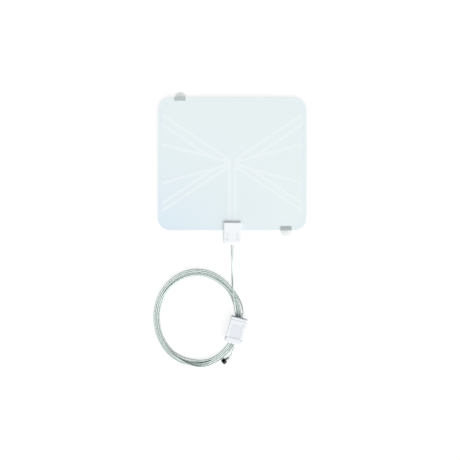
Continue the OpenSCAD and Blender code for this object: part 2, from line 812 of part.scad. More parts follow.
// Free-turning hex nut: threaded bore in front, lip behind
module connector_nut() {
    corner = nut_af / 2 / cos(30);
    color("#4b5054") in_plug_frame() difference() {
        intersection() {
            cylinder(r = corner, h = nut_l, $fn = 6);
            rotate_extrude() polygon([[0, 0], [corner - 0.9, 0], [corner, 0.6], [corner, nut_l - 1],
                [corner - 1.3, nut_l], [0, nut_l]]);
        }
        translate([0, 0, -1]) cylinder(r = sleeve_r + nut_clear, h = nut_l + 2);
        translate([0, 0, lip_t]) cylinder(r = nut_bore_r, h = nut_l);
        translate([0, 0, nut_l - 0.6]) cylinder(r1 = nut_bore_r, r2 = nut_bore_r + 0.6, h = 0.6 + eps);
    }
}

module connector_insulator() {
    color("#f5f5f0") in_plug_frame() difference() {
        translate([0, 0, -post_l]) cylinder(r = insulator_r, h = post_l + insulator_front);
        translate([0, 0, -post_l - 1]) cylinder(r = conductor_r, h = post_l + insulator_front + 2);
    }
}

// Centre conductor: thinner inside the insulator, with its bright free end in front of it
module connector_pin() {
    tip = nut_l + pin_out - pin_cone;
    color("#c08a4a") in_plug_frame() {
        translate([0, 0, -post_l]) cylinder(r = conductor_r, h = post_l + insulator_front + eps);
        translate([0, 0, insulator_front]) cylinder(r = pin_r, h = tip - insulator_front);
        translate([0, 0, tip]) cylinder(r1 = pin_r, r2 = pin_r - 0.25, h = pin_cone);
    }
}

back_film();
front_film();
element_left();
element_right();
housing_front();
housing_back();
matching_board();
balun_core();
balun_winding();
contact_left();
contact_right();
housing_screws();
lead_relief();
lead_end();
clip_upper_left();
cup_upper_left();
clip_lower_right();
cup_lower_right();
cord_lead();
cord_coil();
cord_to_amp();
cord_tail();
amp_top_shell();
amp_bottom_shell();
amp_board();
shield_can();
usb_socket();
power_light();
amp_screws();
amp_relief_in();
amp_relief_out();
amp_end_in();
amp_end_out();
connector_body();
connector_nut();
connector_insulator();
connector_pin();
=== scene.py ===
"""Flat indoor antenna: its finishes, its wound lead and a plain studio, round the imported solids."""

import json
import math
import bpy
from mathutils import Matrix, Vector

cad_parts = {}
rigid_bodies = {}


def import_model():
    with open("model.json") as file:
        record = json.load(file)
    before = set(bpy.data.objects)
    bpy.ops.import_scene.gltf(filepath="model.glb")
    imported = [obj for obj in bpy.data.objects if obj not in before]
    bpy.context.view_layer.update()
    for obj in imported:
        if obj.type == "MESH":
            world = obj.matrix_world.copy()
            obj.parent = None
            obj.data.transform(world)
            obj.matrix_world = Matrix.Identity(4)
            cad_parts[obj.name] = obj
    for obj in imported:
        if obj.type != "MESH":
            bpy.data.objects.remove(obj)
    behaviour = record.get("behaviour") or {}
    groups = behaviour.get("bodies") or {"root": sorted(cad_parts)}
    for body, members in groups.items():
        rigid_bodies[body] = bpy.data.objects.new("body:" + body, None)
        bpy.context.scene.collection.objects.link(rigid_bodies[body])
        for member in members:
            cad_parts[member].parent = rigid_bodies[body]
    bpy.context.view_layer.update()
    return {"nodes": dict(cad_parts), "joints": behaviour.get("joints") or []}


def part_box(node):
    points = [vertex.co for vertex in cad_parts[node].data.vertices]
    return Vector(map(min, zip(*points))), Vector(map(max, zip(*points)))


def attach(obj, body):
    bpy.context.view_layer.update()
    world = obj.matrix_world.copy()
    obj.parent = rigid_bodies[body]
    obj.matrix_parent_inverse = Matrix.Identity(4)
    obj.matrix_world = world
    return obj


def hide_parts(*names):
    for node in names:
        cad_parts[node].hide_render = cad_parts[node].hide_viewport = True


bl_info = {
    "name": "Flat Indoor Antenna",
    "version": (1, 0, 0),
    "blender": (4, 5, 0),
    "location": "View3D > Sidebar > Antenna",
    "description": "Dresses a flat indoor antenna, its coiled lead, amplifier and screw-on plug",
    "category": "Object",
}

import bpy
import numpy as np
from bpy.props import FloatProperty, FloatVectorProperty, PointerProperty
from mathutils import Vector

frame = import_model()
NODES = frame["nodes"]
SPIN = frame["joints"][0]
BODY, NUT = SPIN["parent"], SPIN["child"]
MM = 0.001

# The cord's free stretches, in millimetres: from the housing to the coil, from the coil to the amplifier,
# and from the amplifier to the plug
LEAD_ROUTE = [
    (0, -200.5, 6.4), (0, -208, 6.2), (0, -216, 5), (0, -224, 3.6), (0, -232, 2.4), (0, -240, 1.9),
    (0.1, -248, 2.8), (0.3, -256, 5.2), (0.6, -264, 7.8), (1, -272, 9.3), (1.7, -280, 9.6),
    (2.7, -288, 9.6), (3.8, -296, 9.6), (5, -304, 9.4), (6.2, -312, 8.4), (7.4, -320, 6.6),
    (8.2, -327, 5.4),
]
TO_AMP_ROUTE = [
    (-4.5, -268.5, 5.4), (1.5, -275.5, 5.5), (6.3, -281.5, 5.8), (10.9, -288, 6.6), (14.8, -294.5, 8),
    (18.1, -301, 9.6), (20.8, -307.5, 11.2), (22.7, -314, 12.6), (23.4, -320.5, 13.6),
]
TAIL_ROUTE = [
    (1.2, -410.5, 12.9), (-0.3, -416, 10.9), (-2.2, -421, 8.6), (-4.8, -425.2, 7),
]
# How far the cord's ends go into a relief or the housing, and into the plug's ferrule, in metres
TUCK, PLUG_TUCK = 0.004, 0.002


def linear(*srgb):
    """A colour given as 8-bit sRGB numbers, as the linear values that shaders take."""
    shares = [v / 255 for v in srgb]
    return tuple(v / 12.92 if v < 0.04045 else ((v + 0.055) / 1.055) ** 2.4 for v in shares)


def colour_property(name, text, *srgb):
    """A colour that a user can change."""
    return FloatVectorProperty(
        name=name, description=text, subtype="COLOR", size=3, min=0, max=1, default=linear(*srgb)
    )


def length_property(name, text, default):
    """A length in metres that a user can change."""
    return FloatProperty(name=name, description=text, subtype="DISTANCE", unit="LENGTH", default=default)


class AntennaSheet(bpy.types.PropertyGroup):
    film: colour_property("Film", "Milky film of the sheet", 235, 243, 244)
    tint: colour_property("Corner tint", "Bluer tone towards the lower left corner", 221, 236, 246)
    trace: colour_property("Traces", "Half of this tone where foil lies under the film", 245, 249, 251)
    seam: colour_property("Seam", "Half of this tone in the pressed seam near the edge", 230, 239, 247)


class AntennaCord(bpy.types.PropertyGroup):
    diameter: length_property("Diameter", "Outside diameter of the cord", 0.0036)
    step: length_property("Step", "Distance between two rings of the lead's tube", 0.0032)
    bright: colour_property("Strand", "Lit strands of the braid under the jacket", 215, 225, 221)
    dim: colour_property("Between strands", "Gaps of the braid under the jacket", 187, 201, 196)


class AntennaShells(bpy.types.PropertyGroup):
    housing: colour_property("Housing", "Moulded junction housing", 247, 249, 251)
    amplifier: colour_property("Amplifier", "Moulded amplifier case", 243, 245, 249)
    panel: colour_property("Panel", "Bare panel on the amplifier", 232, 235, 241)
    clip: colour_property("Clips", "Smoke-tinted clear plastic of the clips", 194, 203, 203)
    relief: colour_property("Reliefs", "Soft vinyl of the strain reliefs", 219, 226, 224)


class AntennaStudio(bpy.types.PropertyGroup):
    key: FloatProperty(name="Key", description="Share of the light that the key gives", default=0.12, min=0)
    fill: FloatProperty(name="Soft box", description="Brightness of the soft box", default=1.7, min=0)
    lens: FloatProperty(name="Lens", description="Focal length in millimetres", default=60, min=10)
    width: length_property("View", "Width that the picture shows at the sheet", 1.037)
    above: length_property("Above", "How far up from the picture's middle the camera stands", 0.085)


GROUPS = {
    "antenna_sheet": AntennaSheet,
    "antenna_cord": AntennaCord,
    "antenna_shells": AntennaShells,
    "antenna_studio": AntennaStudio,
}


def feed(tree, socket, value):
    """Links a node's output to a socket, or sets the socket's own value."""
    if isinstance(value, bpy.types.NodeSocket):
        tree.links.new(value, socket)
    else:
        socket.default_value = value


def add(tree, kind, settings=None, **inputs):
    """A node of a material, with its settings and the values of its inputs."""
    made = tree.nodes.new(kind)
    for key, value in (settings or {}).items():
        setattr(made, key, value)
    for key, value in inputs.items():
        feed(tree, made.inputs[key.replace("_", " ")], value)
    return made


def maths(tree, operation, *values, clamp=False):
    """The result of one operation on numbers or other nodes' outputs."""
    made = add(tree, "ShaderNodeMath", {"operation": operation, "use_clamp": clamp})
    for socket, value in zip(made.inputs, values):
        feed(tree, socket, value)
    return made.outputs[0]


def mix(tree, share, first, second):
    """A colour between two others."""
    made = add(tree, "ShaderNodeMix", {"data_type": "RGBA"})
    feed(tree, made.inputs[0], share)
    for socket, colour in ((made.inputs[6], first), (made.inputs[7], second)):
        feed(tree, socket, colour if isinstance(colour, bpy.types.NodeSocket) else (*colour, 1))
    return made.outputs[2]


def place(tree):
    """A surface point in its own piece, and its x, y and z."""
    where = add(tree, "ShaderNodeTexCoord").outputs["Object"]
    return where, add(tree, "ShaderNodeSeparateXYZ", Vector=where).outputs


def at_height(tree, xyz, height, slack):
    """1 where the surface lies at a height, give or take the slack, and 0 elsewhere."""
    return maths(tree, "COMPARE", xyz["Z"], height, slack)


def noise(tree, where, scale, detail=2.0):
    """Soft blotches between 0 and 1, smaller with a larger scale."""
    return add(tree, "ShaderNodeTexNoise", Vector=where, Scale=scale, Detail=detail).outputs["Fac"]


def spread(tree, value, low, high):
    """A 0 to 1 value stretched between two others."""
    return add(tree, "ShaderNodeMapRange", Value=value, To_Min=low, To_Max=high).outputs[0]


def darker(colour, share):
    """A share of a colour's light."""
    return tuple(share * v for v in colour)


def finish(name, **sockets):
    """A material whose shader has these values on its own sockets."""
    made = bpy.data.materials.new(name)
    made.use_nodes = True
    shader = made.node_tree.nodes["Principled BSDF"]
    for key, value in sockets.items():
        shader.inputs[key.replace("_", " ")].default_value = value
    return made, made.node_tree, shader


def grain(tree, shader, where, scale, depth, strength=0.3):
    """Fine unevenness of the surface."""
    bump = add(tree, "ShaderNodeBump", Height=noise(tree, where, scale), Distance=depth, Strength=strength)
    tree.links.new(bump.outputs[0], shader.inputs["Normal"])


def moulded(name, colour, rough, depth=0.00003, scale=900.0, panel=None, panel_z=None):
    """Moulded plastic: faint flow marks in its colour, an uneven gloss, a fine grain and painted shade in its
    grooves.
    """
    made, tree, shader = finish(name, IOR=1.5)
    where, xyz = place(tree)
    tone = mix(tree, noise(tree, where, 35.0), darker(colour, 0.98), colour)
    if panel:
        tone = mix(tree, at_height(tree, xyz, panel_z, 0.00006), tone, panel)
    # Painted shade: where ambient occlusion finds narrow grooves and seams closed in, the colour goes darker
    # and a little bluer
    openness = add(tree, "ShaderNodeAmbientOcclusion", {"samples": 8}, Distance=0.0012).outputs["AO"]
    painted_groove_shade = tuple(v * kept for v, kept in zip(colour, (0.44, 0.5, 0.56)))
    # Mixes the painted groove shade in where the occlusion is strong
    tone = mix(tree, maths(tree, "POWER", openness, 1.6), painted_groove_shade, tone)
    tree.links.new(tone, shader.inputs["Base Color"])
    gloss = spread(tree, noise(tree, where, 220.0), rough - 0.03, rough + 0.05)
    tree.links.new(gloss, shader.inputs["Roughness"])
    grain(tree, shader, where, scale, depth, 0.12)
    return made


def metal(name, colour, rough, along=(1, 1, 1)):
    """Turned or plated metal, with fine lines across the stretched direction."""
    made, tree, shader = finish(name, Metallic=1.0)
    where, _ = place(tree)
    lines = add(tree, "ShaderNodeMapping", Vector=where, Scale=along).outputs[0]
    wear = noise(tree, lines, 600.0, 4.0)
    tree.links.new(mix(tree, wear, darker(colour, 0.72), colour), shader.inputs["Base Color"])
    tree.links.new(spread(tree, wear, rough - 0.05, rough + 0.12), shader.inputs["Roughness"])
    grain(tree, shader, lines, 1500.0, 0.00002)
    return made


# In metres: the ridge that the foil raises in the front film, and the depth of the pressed seam
RIDGE, SEAM_DEPTH = 0.0001, 0.00008


def film_finish(name, settings, front):
    """Milky film, bluer towards one corner and faintly wavy: the front one shows the foil and the seam."""
    made, tree, shader = finish(name, IOR=1.38, Coat_Weight=0.08, Coat_Roughness=0.35)
    where, xyz = place(tree)
    low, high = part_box("back_film")
    leftwards = maths(tree, "MULTIPLY_ADD", xyz["X"], -1 / (high.x - low.x), 0.5)
    downwards = maths(tree, "MULTIPLY_ADD", xyz["Y"], -1 / (high.y - low.y), 0.5)
    corner = maths(tree, "POWER", maths(tree, "MULTIPLY", leftwards, downwards, clamp=True), 1.7)
    cloud = noise(tree, where, 9.0, 3.0)
    share = maths(tree, "MULTIPLY", corner, spread(tree, cloud, 0.8, 1.3), clamp=True)
    tone = mix(tree, share, settings.film, settings.tint)
    if front:
        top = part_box("front_film")[1].z
        over_foil = maths(tree, "GREATER_THAN", xyz["Z"], top - RIDGE / 2)
        in_seam = at_height(tree, xyz, top - RIDGE - SEAM_DEPTH, 0.00002)
        for spot, colour in ((over_foil, settings.trace), (in_seam, settings.seam)):
            tone = mix(tree, maths(tree, "MULTIPLY", spot, 0.5), tone, colour)
    tree.links.new(tone, shader.inputs["Base Color"])
    tree.links.new(spread(tree, cloud, 0.48, 0.62), shader.inputs["Roughness"])
    grain(tree, shader, where, 120.0, 0.00008, 0.25)
    return made


def braid_finish(settings):
    """Clear glossy jacket over a braid: two sets of strands that cross round the cord."""
    made, tree, shader = finish(
        "clear_jacket_over_braid", Metallic=0.46, Roughness=0.32, IOR=1.5, Coat_Weight=0.4,
        Coat_Roughness=0.12, Coat_IOR=1.5,
    )
    uv = add(tree, "ShaderNodeTexCoord").outputs["UV"]
    split = add(tree, "ShaderNodeSeparateXYZ", Vector=uv).outputs
    # The waves' length along the cord in millimetres, and their number round it
    pitch, strands = 1.7, 6.0
    waves = []
    for turn in (strands, -strands):
        phase = maths(tree, "MULTIPLY_ADD", split["Y"], turn, maths(tree, "DIVIDE", split["X"], pitch))
        waves.append(maths(tree, "ABSOLUTE", maths(tree, "SINE", maths(tree, "MULTIPLY", phase, math.tau))))
    braid = maths(tree, "MAXIMUM", *waves)
    tree.links.new(mix(tree, braid, settings.dim, settings.bright), shader.inputs["Base Color"])
    bump = add(tree, "ShaderNodeBump", Height=braid, Distance=0.00004, Strength=0.25)
    tree.links.new(bump.outputs[0], shader.inputs["Normal"])
    return made


def smoke_finish(settings):
    """Clear tinted plastic: smoky where the jaws lie over the sheet, and clearer in the tab past its edge."""
    made, tree, shader = finish("smoke_clip", Roughness=0.22, IOR=1.49, Coat_Weight=0.6, Coat_Roughness=0.08)
    where, xyz = place(tree)
    low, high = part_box("back_film")
    middle = (low.y + high.y) / 2
    off_middle = maths(tree, "ABSOLUTE", maths(tree, "SUBTRACT", xyz["Y"], middle))
    outside = maths(tree, "GREATER_THAN", off_middle, high.y - middle + 0.0002)
    colour = tuple(settings.clip)
    tone = mix(tree, noise(tree, where, 160.0), darker(colour, 0.96), colour)
    tree.links.new(mix(tree, outside, tone, linear(228, 234, 232)), shader.inputs["Base Color"])
    tree.links.new(spread(tree, outside, 0.85, 0.14), shader.inputs["Alpha"])
    grain(tree, shader, where, 400.0, 0.00003)
    return made


def vinyl_finish():
    """Clear soft vinyl of the suction cups."""
    made, tree, shader = finish("clear_vinyl", IOR=1.46, Alpha=0.18, Coat_Weight=0.2, Coat_Roughness=0.2)
    where, _ = place(tree)
    tone = mix(tree, noise(tree, where, 70.0), linear(202, 213, 209), linear(214, 224, 220))
    tree.links.new(tone, shader.inputs["Base Color"])
    tree.links.new(spread(tree, noise(tree, where, 90.0), 0.22, 0.34), shader.inputs["Roughness"])
    grain(tree, shader, where, 150.0, 0.00006, 0.12)
    return made


def light_lens_finish():
    """Clear polished plastic of the power light."""
    made, tree, shader = finish("light_lens", Roughness=0.12, IOR=1.5, Coat_Weight=1.0)
    where, _ = place(tree)
    tone = mix(tree, noise(tree, where, 300.0), linear(196, 208, 202), linear(222, 232, 226))
    tree.links.new(tone, shader.inputs["Base Color"])
    return made


def dress(node, material, bevel=0.0):
    """Gives a CAD node its material and breaks its sharp edges, and leaves its mesh alone."""
    piece = NODES[node]
    piece.data.materials.clear()
    piece.data.materials.append(material)
    if bevel:
        weld = piece.modifiers.new("weld", "WELD")
        weld.merge_threshold = 1e-6
        edge = piece.modifiers.new("broken_edges", "BEVEL")
        edge.width = bevel
        edge.segments = 2
        edge.limit_method = "ANGLE"
        edge.angle_limit = math.radians(32)
        edge.harden_normals = True
    return piece


def object_of(name, mesh, material, body):
    """A new piece that rides on a body."""
    piece = bpy.data.objects.new(name, mesh)
    bpy.context.scene.collection.objects.link(piece)
    mesh.materials.append(material)
    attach(piece, body)
    return piece


def smooth(share):
    """A share from 0 to 1 that starts and ends slowly."""
    share = np.clip(share, 0, 1)
    return share * share * (3 - 2 * share)


def eased(first, last, share):
    """A number on its way from first to last, which starts and ends slowly."""
    return first + (last - first) * float(smooth(share))


def length_along(path):
    """How far along a path each of its points is."""
    return np.concatenate([[0], np.cumsum(np.linalg.norm(np.diff(path, axis=0), axis=1))])


def through(points, step):
    """A smooth curve through points, with new points a step apart."""
    p = np.vstack([2 * points[0] - points[1], points, 2 * points[-1] - points[-2]])
    fine = []
    for a, b, c, d in zip(p, p[1:], p[2:], p[3:]):
        count = max(2, math.ceil(np.linalg.norm(c - b) / step * 2))
        t = np.linspace(0, 1, count, endpoint=False)[:, None]
        squared = 2 * a - 5 * b + 4 * c - d
        cubed = 3 * b - a - 3 * c + d
        fine.append(0.5 * (2 * b + (c - a) * t + squared * t**2 + cubed * t**3))
    line = np.vstack([*fine, points[-1:]])
    along = length_along(line)
    places = np.linspace(0, along[-1], math.ceil(along[-1] / step) + 1)
    return np.stack([np.interp(places, along, line[:, k]) for k in range(3)], axis=1)


def tube(name, path, radius):
    """A round tube along a path, with its UVs in millimetres along it and in turns round it."""
    sides = 14
    ways = np.gradient(path, axis=0)
    ways /= np.linalg.norm(ways, axis=1)[:, None]
    side = np.cross(ways[0], (0, 0, 1))
    side /= np.linalg.norm(side)
    angles = np.linspace(0, math.tau, sides, endpoint=False)
    rings = []
    for point, way in zip(path, ways):
        side = side - (side @ way) * way
        side /= np.linalg.norm(side)
        up = np.cross(way, side)
        rings.append(point + radius * (np.cos(angles)[:, None] * side + np.sin(angles)[:, None] * up))
    faces = [
        (i * sides + k, i * sides + (k + 1) % sides, (i + 1) * sides + (k + 1) % sides, (i + 1) * sides + k)
        for i in range(len(path) - 1)
        for k in range(sides)
    ]
    last = (len(path) - 1) * sides
    faces += [tuple(range(sides))[::-1], tuple(range(last, last + sides))]
    mesh = bpy.data.meshes.new(name)
    mesh.from_pydata(np.vstack(rings).tolist(), [], faces)
    along = length_along(path) / MM
    uvs = []
    for i in range(len(path) - 1):
        for k in range(sides):
            low, high = k / sides, (k + 1) / sides
            uvs += [(along[i], low), (along[i], high), (along[i + 1], high), (along[i + 1], low)]
    # The two end faces
    uvs += [(0, 0)] * sides * 2
    mesh.uv_layers.new(name="UVMap").data.foreach_set("uv", np.array(uvs, float).ravel())
    mesh.polygons.foreach_set("use_smooth", [True] * len(faces))
    mesh.update()
    return mesh


# The coil: its outline comes from its own solid, and its turns lie in lanes from the outside in
COIL_LOW, COIL_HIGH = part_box("cord_coil")
COIL_MIDDLE = (COIL_LOW + COIL_HIGH) / 2
COIL_HALF = (COIL_HIGH - COIL_LOW) / 2
# In millimetres: from the outline to the outermost turn, the width of a lane, and the turns' three heights
RIM, LANE = 1.8, 3.62
BOTTOM, TOP, HUMP = 1.82, 5.45, 9.2
# The lower layer's innermost lane: the upper layer has one lane less
INNER_LANE = 3
# In degrees: the step from point to point, and the stretch just past the plug where a turn changes lanes
ANGLE_STEP = 5.0
JOG_START, JOG_END = -62.0, -136.0
# The outermost turn climbs to the upper layer between these angles before its jog, and leans out by so
# much of a lane
CLIMB_START, CLIMB_END, LEAN = 42, 4, 0.12
# The angle at which the last turn ends and the lead leaves for the amplifier
LEAVING = 44


def window(value, start, full, hold, end):
    """1 between full and hold, 0 outside start and end, and eased in between."""
    return smooth((value - start) / (full - start)) * smooth((end - value) / (end - hold))


def coil_point(angle, lane, height, turn):
    """A point of a turn in metres: so many lanes in from the coil's outside, with the turn's own sway."""
    a = math.radians(angle)
    sway = 0.1 * math.sin(2 * a + 1.7 * turn) + 0.07 * math.sin(5 * a + 2.3 * turn)
    inset = (RIM + LANE * lane + sway) * MM
    x = COIL_MIDDLE.x + (COIL_HALF.x - inset) * math.cos(a)
    y = COIL_MIDDLE.y + (COIL_HALF.y - inset) * math.sin(a)
    return x, y, height * MM


def lower_lane(lane, angle):
    """Where a lower turn lies: the inner one swings inwards at the top of the coil."""
    at = (angle + 180) % 360 - 180
    return lane + (0.9 * window(at, 30, 70, 110, 150) if lane > 2.5 else 0.0)


def upper_lane(lane, angle):
    """Where an upper turn lies: the inner one swings inwards at the top, and both outwards on the right."""
    at = (angle + 180) % 360 - 180
    inwards = window(at, 30, 70, 110, 160) if lane > 1.5 else 0.0
    outwards = window(at, -30, 2, 22, 46)
    return lane + 1.05 * inwards - 0.75 * outwards


def stretch(start, end, turn, lane, height):
    """Points of a turn from one angle to another, placed by lane(share, angle) and height(share)."""
    count = max(1, round((start - end) / ANGLE_STEP))
    points = []
    for k in range(count):
        share = (k + 1) / count
        angle = start + (end - start) * share
        points.append(coil_point(angle, lane(share, angle), height(share), turn))
    return points


def first_stretch():
    """The lead comes in on top, runs to the jog, and goes down there beside the inner lane."""
    coming = stretch(
        0.0, JOG_START, 0,
        lambda share, angle: eased(INNER_LANE - 0.15, INNER_LANE, share),
        lambda share: TOP,
    )
    down = stretch(
        JOG_START, JOG_END, 0,
        lambda share, angle: INNER_LANE + 0.9 * math.sin(math.pi * share) ** 2,
        lambda share: eased(TOP, BOTTOM, share),
    )
    return coming + down


def flat_turn(turn, lane, lane_at, height):
    """One turn at one height, up to the jog that takes it one lane outwards."""
    jog_start, jog_end = JOG_START - 360 * turn, JOG_END - 360 * turn
    turned = stretch(
        jog_end + 360, jog_start, turn, lambda share, angle: lane_at(lane, angle), lambda share: height
    )
    jog = stretch(
        jog_start, jog_end, turn, lambda share, angle: eased(lane, lane - 1, share), lambda share: height
    )
    return turned + jog


def rising_turn(turn):
    """The outermost turn: it climbs to the upper layer and hops over its neighbours to an inner lane."""
    jog_start, jog_end = JOG_START - 360 * turn, JOG_END - 360 * turn
    climb_start, climb_end = jog_start + CLIMB_START, jog_start + CLIMB_END
    low = stretch(jog_end + 360, climb_start, turn, lambda share, angle: 0, lambda share: BOTTOM)
    climb = stretch(
        climb_start, climb_end, turn,
        lambda share, angle: eased(0, -LEAN, share),
        lambda share: eased(BOTTOM, TOP, share),
    )
    # Shares of the hop: where it is up and starts across, where it starts down, and where it is across
    up, down, across = 0.26, 0.76, 0.84
    hop = stretch(
        climb_end, jog_end, turn,
        lambda share, angle: eased(-LEAN, INNER_LANE - 1, (share - up) / (across - up)),
        lambda share: TOP + (HUMP - TOP) * float(window(share, 0, up, down, 1)),
    )
    return low + climb + hop


def coil_points():
    """The lead's turns, from where it comes in under the amplifier to where it leaves for it."""
    points = first_stretch()
    for turn, lane in ((1, 3), (2, 2), (3, 1)):
        points += flat_turn(turn, lane, lower_lane, BOTTOM)
    points += rising_turn(4)
    for turn, lane in ((5, 2), (6, 1)):
        points += flat_turn(turn, lane, upper_lane, TOP)
    last = 7
    jog_end = JOG_END - 360 * (last - 1)
    points += stretch(jog_end, LEAVING - 360 * last, last, lambda share, angle: 0, lambda share: TOP)
    return np.array(points)


def relief_mouth(node):
    """Middle of a strain relief's free end, the one farthest from the amplifier, and the way it faces."""
    points = np.array([v.co for v in NODES[node].data.vertices])
    low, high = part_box("amp_board")
    way = points.mean(0) - np.array((low + high) / 2)
    way[2] = 0
    reach = points @ way
    return points[reach > reach.max() - 1e-5].mean(0), way / np.linalg.norm(way)


# The nut's inside thread, in millimetres: 32 turns to the inch, its radii, half its width and its ends
THREAD_PITCH = 25.4 / 32
THREAD_ROOT, THREAD_CREST, THREAD_HALF = 4.32, 4.16, 0.3
THREAD_START, THREAD_END = 2.5, 7.6


def thread_mesh(origin, axis):
    """A ridge that winds round an axis, and fades in its first and last turn."""
    sides = 40
    side = np.cross(axis, (0, 0, 1.0))
    up = np.cross(side, axis)
    profile = [(THREAD_ROOT, -THREAD_HALF), (THREAD_CREST, 0.0), (THREAD_ROOT, THREAD_HALF)]
    points = []
    faces = []
    count = int((THREAD_END - THREAD_START) / THREAD_PITCH * sides)
    for i in range(count + 1):
        turns = i / sides
        out = math.cos(math.tau * turns) * side + math.sin(math.tau * turns) * up
        fade = min(1.0, turns, (count - i) / sides)
        for radius, shift in profile:
            along = THREAD_START + THREAD_PITCH * turns + shift
            points.append(origin + (axis * along + out * (THREAD_ROOT - (THREAD_ROOT - radius) * fade)) * MM)
        if i:
            low, high = (i - 1) * 3, i * 3
            faces += [(low, low + 1, high + 1, high), (low + 1, low + 2, high + 2, high + 1)]
    mesh = bpy.data.meshes.new("nut_thread")
    mesh.from_pydata([tuple(p) for p in points], [], faces)
    mesh.polygons.foreach_set("use_smooth", [True] * len(faces))
    return mesh


# The point of the floor in the picture's middle, in millimetres
PICTURE_X, PICTURE_Y = -5.1, -139.7
# The ways to the key light and to the soft box's middle, and the key light's width in degrees
KEY_WAY, SOFT_BOX_WAY = (0.42, -0.62, 0.72), (0.28, -0.87, 0.6)
KEY_WIDTH = 38


def seen_directly(tree):
    """1 for rays from the camera, and for those that metal or glass sends on."""
    rays = add(tree, "ShaderNodeLightPath").outputs
    either = maths(tree, "MAXIMUM", rays["Is Camera Ray"], rays["Is Glossy Ray"])
    return maths(tree, "MAXIMUM", either, rays["Is Transmission Ray"])


def pick(tree, share, first, second):
    """The first shader where the share is 0, and the second where it is 1."""
    made = add(tree, "ShaderNodeMixShader")
    for socket, value in zip(made.inputs, (share, first, second)):
        tree.links.new(value, socket)
    return made.outputs[0]


def studio_floor():
    """A pale floor that reads as white and still takes the object's shadow."""
    bpy.ops.mesh.primitive_circle_add(vertices=96, radius=30, fill_type="NGON", location=(0, 0, 0))
    floor = bpy.context.object
    floor.name = "floor"
    made = bpy.data.materials.new("pale_floor")
    made.use_nodes = True
    tree = made.node_tree
    tree.nodes.clear()
    where = add(tree, "ShaderNodeTexCoord").outputs["Object"]
    tone = mix(tree, noise(tree, where, 3.0), linear(134, 135, 136), linear(140, 140, 141))
    lit = add(tree, "ShaderNodeBsdfDiffuse", Color=tone).outputs[0]
    glow = add(tree, "ShaderNodeEmission", Color=(1, 1, 1, 1), Strength=0.8).outputs[0]
    both = add(tree, "ShaderNodeAddShader")
    tree.links.new(lit, both.inputs[0])
    tree.links.new(glow, both.inputs[1])
    out = add(tree, "ShaderNodeOutputMaterial")
    tree.links.new(pick(tree, seen_directly(tree), lit, both.outputs[0]), out.inputs[0])
    floor.data.materials.append(made)


def studio_world(settings):
    """A soft box low on one side, which fades to a dark room on the other: the camera itself sees white."""
    world = bpy.data.worlds.new("studio")
    bpy.context.scene.world = world
    world.use_nodes = True
    tree = world.node_tree
    tree.nodes.clear()
    facing = add(tree, "ShaderNodeVectorMath", {"operation": "DOT_PRODUCT"})
    feed(tree, facing.inputs[0], add(tree, "ShaderNodeTexCoord").outputs["Generated"])
    feed(tree, facing.inputs[1], Vector(SOFT_BOX_WAY).normalized())
    share = add(
        tree, "ShaderNodeMapRange", {"interpolation_type": "SMOOTHSTEP"},
        Value=facing.outputs["Value"], From_Min=-0.05, From_Max=0.9,
    ).outputs[0]
    tone = mix(tree, share, (0.012, 0.028, 0.032), (1.0, 1.0, 1.0))
    soft = add(tree, "ShaderNodeBackground", Color=tone, Strength=settings.fill).outputs[0]
    white = add(tree, "ShaderNodeBackground", Color=(1, 1, 1, 1), Strength=1.0).outputs[0]
    camera_ray = add(tree, "ShaderNodeLightPath").outputs["Is Camera Ray"]
    out = add(tree, "ShaderNodeOutputWorld")
    tree.links.new(pick(tree, camera_ray, soft, white), out.inputs[0])


class ANTENNA_OT_stage(bpy.types.Operator):
    """Camera above the object, floor, world and key light"""

    bl_idname = "antenna.stage"
    bl_label = "Studio"

    def execute(self, context):
        settings = context.scene.antenna_studio
        camera = bpy.data.objects.new("camera", bpy.data.cameras.new("camera"))
        context.scene.collection.objects.link(camera)
        camera.data.lens = settings.lens
        distance = settings.width * settings.lens / camera.data.sensor_width
        # It stands nearer the sheet than the picture's middle, so that the sides away from us show a little
        camera.location = (
            PICTURE_X * MM, PICTURE_Y * MM + settings.above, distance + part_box("front_film")[1].z
        )
        camera.data.shift_y = -settings.above / settings.width
        camera.data.clip_end = 100
        context.scene.camera = camera
        studio_floor()
        studio_world(settings)
        key = bpy.data.objects.new("key", bpy.data.lights.new("key", "SUN"))
        context.scene.collection.objects.link(key)
        towards = Vector(KEY_WAY).normalized()
        key.rotation_mode = "QUATERNION"
        key.rotation_quaternion = towards.to_track_quat("Z", "Y")
        key.data.energy = settings.key * math.pi / towards.z
        key.data.angle = math.radians(KEY_WIDTH)
        context.scene.view_settings.view_transform = "Standard"
        return {"FINISHED"}


class ANTENNA_OT_lead(bpy.types.Operator):
    """The lead: from the housing, seven turns round the coil and up into the amplifier"""

    bl_idname = "antenna.lead"
    bl_label = "Coiled lead"

    def execute(self, context):
        settings = context.scene.antenna_cord
        mouth, way = relief_mouth("amp_relief_in")
        points = np.vstack([
            np.array(LEAD_ROUTE[0]) * MM + (0, TUCK, 0),
            np.array(LEAD_ROUTE) * MM,
            coil_points(),
            np.array(TO_AMP_ROUTE) * MM,
            mouth + MM * way,
            mouth - TUCK * way,
        ])
        path = through(points, settings.step)
        mesh = tube("lead", path, settings.diameter / 2)
        lead = object_of("lead", mesh, braid_finish(settings), BODY)
        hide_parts("cord_lead", "cord_coil", "cord_to_amp")
        print(f"lead length {length_along(path)[-1]:.3f} m")
        # The real lead is 15 feet long, a little more than the modelled turns
        return {"FINISHED"}


